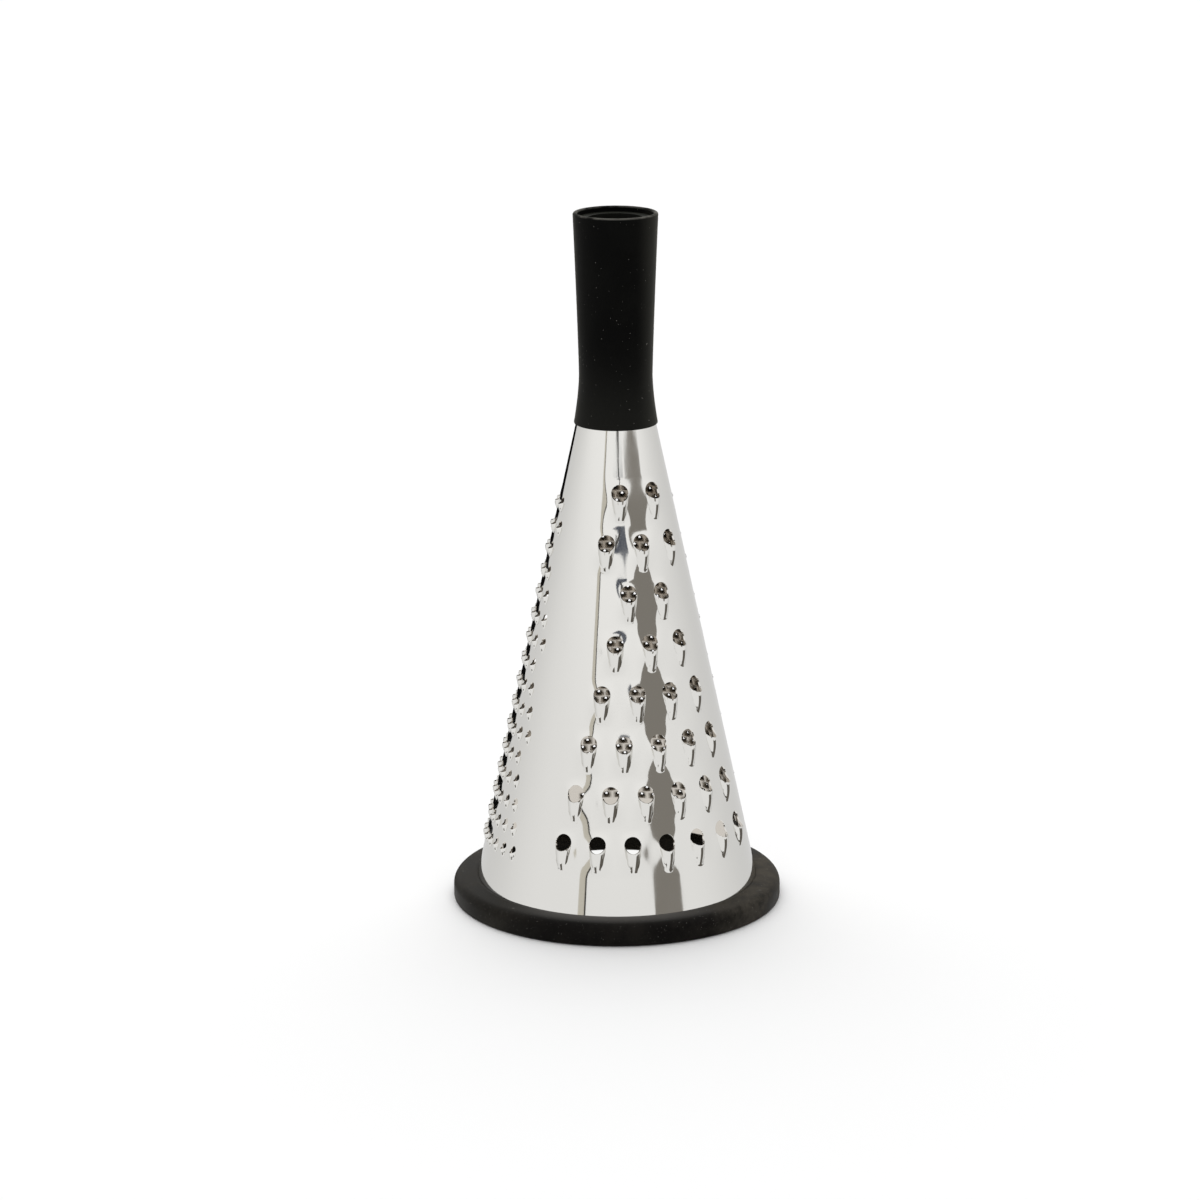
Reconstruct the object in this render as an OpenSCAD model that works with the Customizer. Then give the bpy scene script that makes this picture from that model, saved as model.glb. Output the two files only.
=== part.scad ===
// Cone grater: a rolled steel cone with three punched grating faces, a rubber
// ring round its foot, and a waisted handle that a screw draws down onto its neck.
// The axis is Z, the foot stands on z = 0, and the coarse face looks towards the front, between -Y and +X.

/* [Whole grater] */
// Height from the table to the handle's top edge
total_h = 250; // [235:1:275]
// Height at which the handle's lower edge meets the steel
neck_z = 175; // [170:1:180]

/* [Steel cone] */
// Outer radius of the sheet if it ran on down to the table
cone_foot_r = 52.3; // [51:0.1:53]
// Outer radius of the sheet where the handle's lower edge covers it
cone_neck_r = 14.2; // [13.6:0.1:14.5]
// Thickness of the sheet
sheet_t = 0.5; // [0.4:0.05:0.6]
// Length of neck that the handle hides
neck_cover = 11; // [9:0.5:13]
// Width of the turned-out flange that the ring holds
foot_flange_w = 2; // [1:0.1:3]
// Width of the lapped seam at the back
seam_w = 7; // [5:0.5:9]
// Part of that width that lies before the seam's direction
seam_under = 1.2; // [0.8:0.1:1.6]
// Direction of the seam, in degrees from -Y towards +X
seam_angle = -157; // [-159:0.5:-155]
// Direction of the coarse face, in degrees from -Y towards +X
coarse_face_angle = 23; // [0:1:40]

/* [Coarse face] */
// Radius of a coarse hole
coarse_hole_r = 3; // [2.4:0.1:3.4]
// How far a coarse cutting edge stands out of the sheet
coarse_rise = 2; // [1.4:0.1:2.4]
// Length from a coarse hole's centre down to its scoop's tip
coarse_reach = 10.4; // [8:0.1:11]
// Spacing of the coarse rows, along the slope
coarse_row_pitch = 17.7; // [15:0.1:18]
// Spacing of the coarse teeth along a row
coarse_arc_pitch = 12.5; // [10.5:0.1:13]
// Height of the lowest coarse row's hole centres
coarse_first_z = 32.6; // [28:0.1:36]

/* [Medium face] */
// Direction of the medium face, in degrees from -Y towards +X
medium_face_angle = -95.5; // [-98:0.1:-94]
// Radius of a medium hole
medium_hole_r = 1.2; // [1:0.05:1.3]
// How far a medium cutting edge stands out of the sheet
medium_rise = 1.4; // [1:0.1:1.6]
// Length from a medium hole's centre down to its scoop's tip
medium_reach = 4.4; // [3.6:0.1:4.8]
// Spacing of the medium rows, along the slope
medium_row_pitch = 8.36; // [7.5:0.02:8.6]
// Spacing of the medium teeth along a row
medium_arc_pitch = 5.9; // [5:0.1:6.2]
// Height of the lowest medium row's hole centres
medium_first_z = 25.8; // [22:0.1:30]

/* [Fine face] */
// Direction of the fine face, in degrees from -Y towards +X
fine_face_angle = 150; // [146:0.5:152]
// Half the width of a fine, three-cornered pinhole
fine_hole_r = 0.6; // [0.4:0.05:0.8]
// How far a fine tooth's torn crown stands out of the sheet
fine_rise = 1; // [0.6:0.1:1.2]
// Half the width of a fine tooth's four-sided foot, corner to corner
fine_foot_r = 1.5; // [1.2:0.05:1.9]
// Spacing of the pinhole rows, along the slope
fine_row_pitch = 9.6; // [8:0.1:9.8]
// Spacing of the pinholes along a row
fine_arc_pitch = 6.6; // [5:0.1:8]
// Height of the lowest pinhole row
fine_first_z = 26; // [22:0.1:30]

/* [Base ring] */
// How far the rubber ring stands out past the sheet's foot radius
ring_reach = 7; // [5:0.1:11]
// How far the ring reaches in from the sheet's foot radius
ring_lip = 3.7; // [3.2:0.1:6]
// Height of the ring
ring_h = 8.2; // [7:0.1:10]
// Rounding of the ring's outer top edge
ring_round = 3; // [1.5:0.1:4]
// Bevel of the ring's outer bottom edge
ring_bevel = 0.6; // [0.3:0.1:1]
// Depth of rubber under the steel
ring_floor = 2.5; // [1.5:0.1:3.5]
// Gap between the steel and the walls of the ring's groove
groove_clearance = 0.15; // [0.05:0.05:0.3]

/* [Handle] */
// How far the grip's lower edge stands out past the steel that it meets
grip_foot_reach = 0.7; // [0.6:0.1:1.8]
// How far the grip's waist stands out past the top of the steel neck
grip_waist_reach = 1.2; // [1:0.1:2.2]
// Outer radius of the grip at its top edge
grip_top_r = 15; // [14:0.1:17]
// Height of the waist above the grip's lower edge
grip_waist_h = 17.5; // [15:0.5:24]
// Thickness of the soft grip over the core
grip_t = 1.2; // [1:0.1:1.4]
// Least wall of the hard core
core_t = 2; // [1.6:0.1:2.6]
// Height of the grip's lip above the core's top edge
lip_h = 2; // [1:0.1:4]
// Gap between the grip and what it covers
grip_clearance = 0.1; // [0.05:0.05:0.2]

/* [Handle floor] */
// Thickness of the floor across the core's lower end
floor_t = 4; // [3:0.5:6]
// Height of the screw boss above that floor
boss_h = 12; // [9:0.5:16]
// Outer radius of the screw boss
boss_r = 4.5; // [4:0.1:6]
// Thickness of the ribs that brace the boss
rib_t = 1.6; // [1.2:0.1:2.4]

/* [Neck fixing] */
// Length of the tapered plug inside the neck
plug_h = 20; // [14:0.5:22]
// Gap between the plug and the sheet
plug_clearance = 0.15; // [0.05:0.05:0.3]
// Radius of the screw's shank
screw_r = 2; // [1.5:0.1:2.3]
// Length of the screw under its head
screw_len = 33; // [28:0.5:35]
// Radius of the screw's head
screw_head_r = 3.8; // [3.4:0.1:4.4]
// Height of the screw's head
screw_head_h = 2.4; // [2:0.1:3]
// Outer radius of the washer
washer_r = 5; // [4.6:0.1:6]
// Thickness of the washer
washer_t = 1; // [0.6:0.1:1.6]
// Gap round the screw where it passes the plug and the washer
screw_clearance = 0.3; // [0.1:0.05:0.5]
// Gap round the screw in the boss that it cuts its thread into
pilot_clearance = 0.05; // [0.02:0.01:0.1]

/* [Hidden] */

// Teeth in each row, from the lowest row up
coarse_counts = [7, 6, 5, 4, 3, 2, 3, 2];
medium_counts = [13, 12, 11, 10, 9, 10, 9, 8, 7, 8, 7, 6, 5, 4, 5, 4];
fine_rows = 14;
// Share of a whole turn that the fine face is wide
fine_width_share = 0.267;
// Share of a fine tooth's foot that its tip is wide
fine_tip_share = 0.33;
// Shares of a hole's radius: where its scoop starts, below the centre, and the radius of the scoop's tip
scoop_start_share = 0.4;
scoop_tip_share = 0.42;
// Powers that shape the grip below and above its waist
grip_foot_power = 1.6;
grip_top_power = 1.2;
grip_steps = 12;
rib_count = 4;
// Share of the boss's height that the ribs reach
rib_share = 0.7;
// Share of the screw's head that the cross recess is wide, and is deep
recess_share = 0.2;
recess_depth_share = 0.6;
recess_reach_share = 0.55;
// Length by which a cutting shape runs past what it cuts
overrun = 1;

// Radius lost for each millimetre of height, and the angle of the slope
taper = (cone_foot_r - cone_neck_r) / neck_z;
slope = atan(taper);
function cone_r(z) = cone_foot_r - taper * z;
// Thickness of the sheet, measured level instead of square to it
sheet_level_t = sheet_t / cos(slope);
cone_top_z = neck_z + neck_cover;

ring_outer_r = cone_foot_r + ring_reach;
ring_inner_r = cone_foot_r - ring_lip;
grip_foot_r = cone_neck_r + grip_foot_reach;
grip_waist_r = cone_r(cone_top_z) + grip_waist_reach;

// Places along the handle
core_top_z = total_h - lip_h;
waist_z = neck_z + grip_waist_h;
bore_r = grip_waist_r - grip_t - core_t;
floor_z = cone_top_z + floor_t;
plug_foot_z = cone_top_z - plug_h;
head_z = plug_foot_z - washer_t;

// Radius of the grip at a height: the waist, plus a power of the distance from it
function grip_r(z) = z < waist_z
    ? grip_waist_r + (grip_foot_r - grip_waist_r) * pow((waist_z - z) / grip_waist_h, grip_foot_power)
    : grip_waist_r + (grip_top_r - grip_waist_r) * pow((z - waist_z) / (total_h - waist_z), grip_top_power);

// Puts a shape on the steel: its z then points out of the sheet and its y up the slope
module on_slope(angle, z) {
    rotate([0, 0, angle])
        translate([0, -cone_r(z), z])
            rotate([90 - slope, 0, 0])
                children();
}

// Repeats a shape at each tooth of a face
module face_of_teeth(face_angle, first_z, row_pitch, arc_pitch, counts) {
    for (row = [0 : len(counts) - 1]) {
        z = first_z + row * row_pitch * cos(slope);
        step = arc_pitch / cone_r(z) * 180 / PI;
        for (tooth = [0 : counts[row] - 1])
            on_slope(face_angle + (tooth - (counts[row] - 1) / 2) * step, z)
                children();
    }
}

module coarse_face() {
    face_of_teeth(coarse_face_angle, coarse_first_z, coarse_row_pitch, coarse_arc_pitch, coarse_counts)
        children();
}

module medium_face() {
    face_of_teeth(medium_face_angle, medium_first_z, medium_row_pitch, medium_arc_pitch, medium_counts)
        children();
}

// Rows of fine teeth fill the face's width, and every second row is set over by half a step
function fine_count(row) =
    let (r = cone_r(fine_first_z + row * fine_row_pitch * cos(slope)))
    let (most = floor(fine_width_share * 2 * PI * r / fine_arc_pitch))
    most - (most + row) % 2;

module fine_face() {
    counts = [for (row = [0 : fine_rows - 1]) fine_count(row)];
    face_of_teeth(fine_face_angle, fine_first_z, fine_row_pitch, fine_arc_pitch, counts)
        children();
}

// A scoop's outer or inner side: a cone lying in the sheet, highest at the hole, sinking to its tip, and
// turned so that a corner of its section runs along its ridge
module scoop_cone(hole_r, rise, reach, inset, back, sides) {
    start_y = scoop_start_share * hole_r;
    start_r = (hole_r * hole_r + rise * rise) / (2 * rise);
    tip_r = scoop_tip_share * hole_r;
    run = reach - start_y;
    narrowing = (start_r - tip_r) / run;
    fall = (rise - start_r + tip_r) / run;
    length = back + run + tip_r;
    back_r = start_r + narrowing * back;
    translate([0, back - start_y, rise - start_r + fall * back])
        rotate([90 + atan(fall), 0, 0])
            rotate([0, 0, 90])
                cylinder(
                    h = length / cos(atan(fall)),
                    r1 = back_r - inset,
                    r2 = back_r - narrowing * length - inset,
                    $fn = sides
                );
}

module coarse_scoops(inset, back) {
    coarse_face()
        scoop_cone(coarse_hole_r, coarse_rise, coarse_reach, inset, back, 32);
}

module medium_scoops() {
    medium_face()
        scoop_cone(medium_hole_r, medium_rise, medium_reach, 0, 0, 6);
}

// A fine tooth: a four-sided point that grows out of the middle of the sheet
module fine_crown() {
    sink = sheet_t / 2;
    tip_r = fine_tip_share * fine_foot_r;
    translate([0, 0, -sink])
        cylinder(
            h = sink + fine_rise,
            r1 = fine_foot_r + (fine_foot_r - tip_r) * sink / fine_rise,
            r2 = tip_r,
            $fn = 4
        );
}

// A hole through the sheet, square to it, and through what stands out of it
module punched_hole(hole_r, rise, sides) {
    translate([0, 0, -sheet_t - overrun])
        cylinder(h = sheet_t + rise + 2 * overrun, r = hole_r, $fn = sides);
}

// The solid cone between two heights, made wider or narrower by a level amount
module cone_between(low_z, high_z, grow) {
    translate([0, 0, low_z])
        cylinder(h = high_z - low_z, r1 = cone_r(low_z) + grow, r2 = cone_r(high_z) + grow, $fn = 180);
}

// The second thickness of sheet where the ends of the rolled blank lap at the back
module seam_lap() {
    rotate([0, 0, seam_angle])
        intersection() {
            cone_between(ring_h + groove_clearance, neck_z - grip_clearance, sheet_level_t);
            translate([-seam_under, -cone_foot_r - overrun, 0])
                cube([seam_w, cone_foot_r, total_h]);
        }
}

module foot_flange(grow) {
    translate([0, 0, ring_floor])
        cylinder(h = sheet_t + grow, r = cone_r(ring_floor) + foot_flange_w + grow, $fn = 180);
}

module grater_cone() {
    color("gainsboro")
        difference() {
            union() {
                cone_between(ring_floor, cone_top_z, 0);
                foot_flange(0);
                seam_lap();
                coarse_scoops(0, 0);
                medium_scoops();
                fine_face() fine_crown();
            }
            cone_between(ring_floor - overrun, cone_top_z + overrun, -sheet_level_t);
            coarse_scoops(sheet_t, scoop_start_share * coarse_hole_r);
            coarse_face() punched_hole(coarse_hole_r, coarse_rise, 32);
            medium_face() punched_hole(medium_hole_r, medium_rise, 32);
            fine_face() punched_hole(fine_hole_r, fine_rise, 3);
        }
}

module base_ring() {
    color([0.12, 0.11, 0.1])
        difference() {
            rotate_extrude($fn = 180) {
                polygon([
                    [ring_inner_r, 0],
                    [ring_outer_r - ring_bevel, 0],
                    [ring_outer_r, ring_bevel],
                    [ring_outer_r, ring_h - ring_round],
                    [ring_outer_r - ring_round, ring_h],
                    [ring_inner_r, ring_h]
                ]);
                intersection() {
                    translate([ring_outer_r - ring_round, ring_h - ring_round])
                        circle(r = ring_round, $fn = 64);
                    translate([ring_outer_r - ring_round, ring_h - ring_round])
                        square(ring_round);
                }
            }
            difference() {
                union() {
                    cone_between(ring_floor, ring_h + overrun, groove_clearance);
                    foot_flange(groove_clearance);
                }
                cone_between(ring_floor - overrun, ring_h + 2 * overrun, -sheet_level_t - groove_clearance);
            }
        }
}

// The space inside the grip, from the table's side up: the steel neck, the core, then the open lip
function inside_outline(z_low, inset) = [
    for (step = [0 : grip_steps])
        let (z = z_low + (core_top_z - z_low) * step / grip_steps)
        [grip_r(z) - inset, z]
];

module handle_grip() {
    outside = [
        for (step = [0 : 2 * grip_steps])
            let (z = neck_z + (total_h - neck_z) * step / (2 * grip_steps))
            [grip_r(z), z]
    ];
    color([0.06, 0.06, 0.06])
        difference() {
            rotate_extrude($fn = 120)
                polygon(concat([[0, neck_z]], outside, [[0, total_h]]));
            cone_between(neck_z - overrun, cone_top_z, grip_clearance);
            rotate_extrude($fn = 120)
                polygon(concat(
                    [[0, cone_top_z]],
                    inside_outline(cone_top_z, grip_t - grip_clearance),
                    [[0, core_top_z]]
                ));
            translate([0, 0, core_top_z])
                cylinder(h = lip_h + overrun, r = grip_r(core_top_z) - grip_t + grip_clearance, $fn = 120);
        }
}

module handle_core() {
    color([0.1, 0.1, 0.1])
        difference() {
            union() {
                difference() {
                    rotate_extrude($fn = 120)
                        polygon(concat(
                            [[0, cone_top_z]],
                            inside_outline(cone_top_z, grip_t),
                            [[0, core_top_z]]
                        ));
                    translate([0, 0, floor_z])
                        cylinder(h = total_h, r = bore_r, $fn = 120);
                }
                translate([0, 0, cone_top_z + floor_t / 2])
                    cylinder(h = boss_h + floor_t / 2, r = boss_r, $fn = 64);
                for (rib = [0 : rib_count - 1])
                    rotate([0, 0, rib * 360 / rib_count])
                        translate([0, -rib_t / 2, cone_top_z + floor_t / 2])
                            cube([bore_r + core_t / 2, rib_t, floor_t / 2 + boss_h * rib_share]);
            }
            translate([0, 0, cone_top_z - overrun])
                cylinder(h = head_z + screw_len - cone_top_z + 2 * overrun, r = screw_r + pilot_clearance, $fn = 48);
        }
}

module neck_plug() {
    color([0.15, 0.15, 0.15])
        difference() {
            cone_between(plug_foot_z, cone_top_z, -sheet_level_t - plug_clearance);
            translate([0, 0, plug_foot_z - overrun])
                cylinder(h = plug_h + 2 * overrun, r = screw_r + screw_clearance, $fn = 48);
        }
}

module screw_washer() {
    color("silver")
        difference() {
            translate([0, 0, head_z])
                cylinder(h = washer_t, r = washer_r, $fn = 64);
            translate([0, 0, head_z - overrun])
                cylinder(h = washer_t + 2 * overrun, r = screw_r + screw_clearance, $fn = 48);
        }
}

// A pan head with a cross recess, a plain shank for the thread and a short point
module fixing_screw() {
    recess_w = recess_share * screw_head_r * 2;
    recess_l = recess_reach_share * screw_head_r * 2;
    recess_h = recess_depth_share * screw_head_h;
    color("silver")
        difference() {
            union() {
                translate([0, 0, head_z - screw_head_h])
                    cylinder(h = screw_head_h / 2, r1 = screw_head_r * 3 / 4, r2 = screw_head_r, $fn = 64);
                translate([0, 0, head_z - screw_head_h / 2])
                    cylinder(h = screw_head_h / 2, r = screw_head_r, $fn = 64);
                translate([0, 0, head_z - screw_head_h / 4])
                    cylinder(h = screw_len - screw_r * 2 + screw_head_h / 4, r = screw_r, $fn = 48);
                translate([0, 0, head_z + screw_len - screw_r * 2])
                    cylinder(h = screw_r * 2, r1 = screw_r, r2 = screw_r / 4, $fn = 48);
            }
            for (turn = [0, 90])
                rotate([0, 0, turn])
                    translate([-recess_l / 2, -recess_w / 2, head_z - screw_head_h - overrun])
                        cube([recess_l, recess_w, recess_h + overrun]);
        }
}

grater_cone();
base_ring();
handle_grip();
handle_core();
neck_plug();
fixing_screw();
screw_washer();
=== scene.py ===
# Cone grater on a white table: a rolled steel cone with three punched faces, a rubber ring round its
# foot and a waisted handle drawn down onto its neck. Directions round the axis start at the camera's
# side, -Y, and grow towards +X.

import math

import bpy
import numpy as np
from mathutils import Euler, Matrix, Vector


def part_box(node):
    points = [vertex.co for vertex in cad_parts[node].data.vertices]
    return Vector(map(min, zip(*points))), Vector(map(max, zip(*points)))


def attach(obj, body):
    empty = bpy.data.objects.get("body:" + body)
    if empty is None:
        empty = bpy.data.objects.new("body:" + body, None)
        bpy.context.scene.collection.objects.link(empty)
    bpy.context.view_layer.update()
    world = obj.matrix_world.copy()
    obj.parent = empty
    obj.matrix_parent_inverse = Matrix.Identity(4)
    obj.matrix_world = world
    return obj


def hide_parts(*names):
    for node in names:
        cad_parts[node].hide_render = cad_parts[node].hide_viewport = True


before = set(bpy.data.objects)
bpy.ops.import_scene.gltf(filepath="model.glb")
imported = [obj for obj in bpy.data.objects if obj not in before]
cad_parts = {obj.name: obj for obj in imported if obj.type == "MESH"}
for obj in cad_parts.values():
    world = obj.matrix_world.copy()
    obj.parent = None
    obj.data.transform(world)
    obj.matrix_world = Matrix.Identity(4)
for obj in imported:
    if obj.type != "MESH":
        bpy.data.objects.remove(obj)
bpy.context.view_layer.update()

mm = 0.001


# Rolled steel cone
# One blank of polished stainless sheet, punched with three faces of teeth and rolled up, with its ends
# lapped and spot-welded at the back. Its foot is turned out into the flange that the ring holds.

foot_r = 52.3 * mm
neck_r = 14.2 * mm
neck_z = 175 * mm
sheet_t = 0.5 * mm
bend_r = 0.6 * mm
slope = math.atan((foot_r - neck_r) / neck_z)
cone_low, cone_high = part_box("grater_cone")


def sheet_r(v):
    """Radius of the sheet's outside at v up the slope: the foot's, less v times the slope's sine."""
    return foot_r - v * math.sin(slope)


bend_v = (cone_low.z + sheet_t + bend_r * (1 - math.sin(slope))) / math.cos(slope)
flange_turn = math.pi / 2 - slope
flange_w = cone_high.x - sheet_r(bend_v) - bend_r * math.cos(slope)
blank_low = bend_v - bend_r * flange_turn - flange_w
blank_high = cone_high.z / math.cos(slope)


def rolled(phi, v, out):
    """The flat blank rolled up: at direction phi and v up the slope, `out` square to the sheet.
    Below the bend the sheet goes down an arc that turns it level, then straight out as the flange."""
    turned = np.clip((bend_v - v) / bend_r, 0, flange_turn)
    level = np.maximum(bend_v - bend_r * flange_turn - v, 0)
    up = np.maximum(v, bend_v)
    heading = turned - flange_turn
    r = sheet_r(up) + bend_r * (np.sin(heading) + math.cos(slope)) + level - out * np.sin(heading)
    z = up * math.cos(slope) + bend_r * (math.sin(slope) - np.cos(heading)) + out * np.cos(heading)
    return np.stack([r * np.sin(phi), -r * np.cos(phi), z], axis=-1)


def eased(x, low, high):
    """0 below low, 1 above high, and the cubic 3t^2 - 2t^3 between."""
    t = np.clip((x - low) / (high - low), 0, 1)
    return t * t * (3 - 2 * t)


def proud_of_sheet(form, fillet):
    """What of a form stands above the flat sheet, met by a parabola within a fillet's height of it."""
    return np.where(form > fillet, form, np.maximum(form + fillet, 0) ** 2 / (4 * fillet))


def scoop(x, y, hole_r, rise, reach, fillet, mouth):
    """A cone lying in the sheet below a hole at the origin: its ridge starts `rise` high at the hole and
    falls, faster and faster, to nothing at `reach`, and its round section narrows with it. Its mouth rises
    from the sheet between two distances down the hole, in shares of the hole's radius. Past `steep` of its
    radius the section's circle goes on as its tangent, which never stands upright."""
    start = 0.4 * hole_r
    start_r = (hole_r**2 + rise**2) / (2 * rise)
    tip_r = 0.52 * hole_r
    fall = np.maximum(-y - start, 0) / (reach - start)
    ridge = rise * (1 - fall**2.4)
    section_r = start_r + (tip_r - start_r) * np.clip(fall, 0, 1)
    across = np.abs(x) / section_r
    steep = 0.97
    arch = np.sqrt(1 - np.minimum(across, steep) ** 2)
    arch -= np.maximum(across - steep, 0) * steep / math.sqrt(1 - steep**2)
    opened = eased(-y, mouth[0] * hole_r, mouth[1] * hole_r)
    return proud_of_sheet(ridge - section_r + section_r * arch, fillet) * opened


def swell(x, y, half_x, half_y):
    """A pillow over a tooth's cell, 1 at its middle and 0 at its edges: two squared cosines multiplied."""
    fade_x = np.cos(math.pi / 2 * np.clip(x / half_x, -1, 1)) ** 2
    return fade_x * np.cos(math.pi / 2 * np.clip(y / half_y, -1, 1)) ** 2


def spike(x, y, hole_r, foot, rise):
    """A burst dimple: an eased cone round a pinhole, its torn rim standing up in four points."""
    away = np.hypot(x, y)
    torn = 1 + 0.25 * np.cos(4 * np.arctan2(y, x)) * (1 - eased(away, hole_r, foot))
    return rise * torn * (1 - eased(away, 0, foot))


def even_circle(r, count):
    """A circle as points at even angles, clockwise from its top."""
    angle = 2 * math.pi * np.arange(count) / count
    return np.stack([r * np.sin(angle), r * np.cos(angle)])


def mirrored(x, y):
    """A closed outline from its right half, which runs from its top to its foot."""
    return np.stack([np.concatenate([x, -x[-2:0:-1]]), np.concatenate([y, y[-2:0:-1]])])


def teardrop(top_r, tip_r, tip_y, count):
    """The outline round a circle and a smaller one tip_y below it, with its points at even steps."""
    lean = math.asin((top_r - tip_r) / tip_y)
    over = np.linspace(math.pi / 2, -lean, 64)
    under = np.linspace(-lean, -math.pi / 2, 64)
    x = np.concatenate([top_r * np.cos(over), tip_r * np.cos(under)])
    y = np.concatenate([top_r * np.sin(over), tip_r * np.sin(under) - tip_y])
    run = np.concatenate([[0], np.cumsum(np.hypot(np.diff(x), np.diff(y)))])
    at = np.linspace(0, run[-1], count // 2 + 1)
    return mirrored(np.interp(at, run, x), np.interp(at, run, y))


def cell_edge(half, up, down, across, along):
    """A cell's edge: `across` steps along its top and its bottom, and `along` steps down each side."""
    out = np.linspace(0, half, across // 2 + 1)
    side = np.linspace(up, -down, along + 1)
    x = np.concatenate([out, np.full(along - 1, half), out[::-1]])
    y = np.concatenate([np.full(across // 2, up), side, np.full(across // 2, -down)])
    return mirrored(x, y)


class PunchedFace:
    """A third of the blank: its rows of teeth, a tooth's form, and the loops of points in its cell."""

    def __init__(self, facing, first_z, row_pitch, arc_pitch, counts, down_share, across, along):
        self.facing = math.radians(facing)
        self.half = arc_pitch / 2
        self.join = 0.3 * mm
        self.down = down_share * row_pitch
        self.up = row_pitch - self.down - self.join
        self.across = across
        self.along = along
        self.around = 2 * (across + along)
        self.rows = []
        for row, count in enumerate(counts):
            v = first_z / math.cos(slope) + row * row_pitch
            step = arc_pitch / sheet_r(v)
            self.rows.append((v, self.facing - step * (count - 1) / 2, step, count))

    def shape(self, form, hole_r, outline, inner_rings, outer_rings):
        """Sets the tooth's form, and its cell's loops: from the hole's rim to the outline, then to the
        cell's edge."""
        self.form = form
        rim = even_circle(hole_r, self.around)
        edge = cell_edge(self.half, self.up, self.down, self.across, self.along)
        inner = np.linspace(0, 1, inner_rings + 1)[:, None, None]
        outer = np.linspace(0, 1, outer_rings + 1)[1:, None, None]
        self.loops = np.concatenate([rim + (outline - rim) * inner, outline + (edge - outline) * outer])
        self.squared = np.concatenate([np.zeros(inner_rings + 1), outer[:, 0, 0]])

    def height(self, phi, v):
        """How far the sheet stands out: in each row, the form of the nearest tooth. Past `aside` from the
        face's middle there are none."""
        aside = 1.2
        total = np.zeros(phi.shape)
        for row_v, first, step, count in self.rows:
            near = (np.abs(v - row_v) < self.up + self.down) & (np.abs(phi - self.facing) < aside)
            tooth = np.clip(np.rint((phi[near] - first) / step), 0, count - 1)
            x = (phi[near] - first - tooth * step) * sheet_r(v[near])
            total[near] += self.form(x, v[near] - row_v)
        return total

    def blank(self, low, high, low_levels, top_level, blank_step, margin_step):
        """The face spread flat between two directions: quads and triangles as corners (phi, v), and its
        sides' v. Each row is a strip of cells with plain margins, and thin bands of triangles join the
        strips."""
        columns = even_steps(low, high, blank_step / sheet_r(low_levels[-1]))
        quads = [grid_quads(columns[None, :], low_levels[:, None])]
        triangles = []
        edge = level_points(columns, low_levels[-1])
        side = [low_levels]
        for row_v, first, step, count in self.rows:
            start = first - step / 2
            cell_points = start + np.arange(count * self.across + 1) * step / self.across
            left = even_steps(low, cell_points[0], margin_step / sheet_r(row_v))
            right = even_steps(cell_points[-1], high, margin_step / sheet_r(row_v))
            strip_v = row_v + np.linspace(-self.down, self.up, self.along + 1)
            quads.append(grid_quads(left[None, :], strip_v[:, None]))
            quads.append(grid_quads(right[None, :], strip_v[:, None]))
            quads.append(self.cells(row_v, first + step * np.arange(count)))
            strip_phi = np.concatenate([left[:-1], cell_points, right[1:]])
            triangles.append(joined(edge, level_points(strip_phi, strip_v[0]), 0))
            edge = level_points(strip_phi, strip_v[-1])
            side.append(strip_v)
        top_levels = even_steps(side[-1][-1] + self.join, top_level, 3 * blank_step)
        columns = even_steps(low, high, blank_step / sheet_r(top_levels[0]))
        triangles.append(joined(edge, level_points(columns, top_levels[0]), 0))
        quads.append(grid_quads(columns[None, :], top_levels[:, None]))
        side.append(top_levels)
        return quads, triangles, np.concatenate(side)

    def cells(self, row_v, centres):
        """The quads of one row's cells. A loop's x is an arc length at its own height, and turns by steps
        into one at the row's height, so that the cells' sides are straight up the slope and meet."""
        x, y = self.loops[:, 0, :], self.loops[:, 1, :]
        x = np.concatenate([x, x[:, :1]], axis=1)
        v = row_v + np.concatenate([y, y[:, :1]], axis=1)
        squared = self.squared[:, None]
        turn = x * ((1 - squared) / sheet_r(v) + squared / sheet_r(row_v))
        return grid_quads(centres[:, None, None] + turn, np.broadcast_to(v, (len(centres), *v.shape)))


def even_steps(low, high, most):
    """Values from low to high at even steps of at most `most`."""
    return np.linspace(low, high, math.ceil((high - low) / most) + 1)


def level_points(phi, v):
    """Points at one height."""
    return np.stack([phi, np.full(phi.shape, v)], axis=-1)


def upright_points(phi, v):
    """Points in one direction."""
    return np.stack([np.full(v.shape, phi), v], axis=-1)


def grid_quads(phi, v):
    """A grid's quads as corners (phi, v); leading axes are so many grids."""
    points = np.stack(np.broadcast_arrays(phi, v), axis=-1)
    low, high = points[..., :-1, :, :], points[..., 1:, :, :]
    corners = np.stack([low[..., :-1, :], low[..., 1:, :], high[..., 1:, :], high[..., :-1, :]], axis=-2)
    return corners.reshape(-1, 4, 2)


def joined(a, b, axis):
    """Triangles between two rows of points that run side by side along an axis. Each step goes on along
    the row whose next edge has its middle first, so the rows may have different steps."""
    middles = np.concatenate([(a[1:, axis] + a[:-1, axis]) / 2, (b[1:, axis] + b[:-1, axis]) / 2])
    on_a = np.argsort(middles, kind="stable") < len(a) - 1
    at_a = np.cumsum(on_a) - on_a
    at_b = np.cumsum(~on_a) - ~on_a
    next_a = a[np.minimum(at_a + 1, len(a) - 1)]
    next_b = b[np.minimum(at_b + 1, len(b) - 1)]
    after = np.where(on_a[:, None], next_a, next_b)
    return np.stack([a[at_a], b[at_b], after], axis=1)


face_step = math.radians(120)
coarse_facing = 23.0
coarse_hole_r = 3 * mm
coarse = PunchedFace(
    coarse_facing,
    first_z=32.6 * mm,
    row_pitch=17.7 * mm,
    arc_pitch=12.5 * mm,
    counts=[7, 6, 5, 4, 3, 2, 3, 2],
    down_share=0.67,
    across=10,
    along=14,
)

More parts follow.
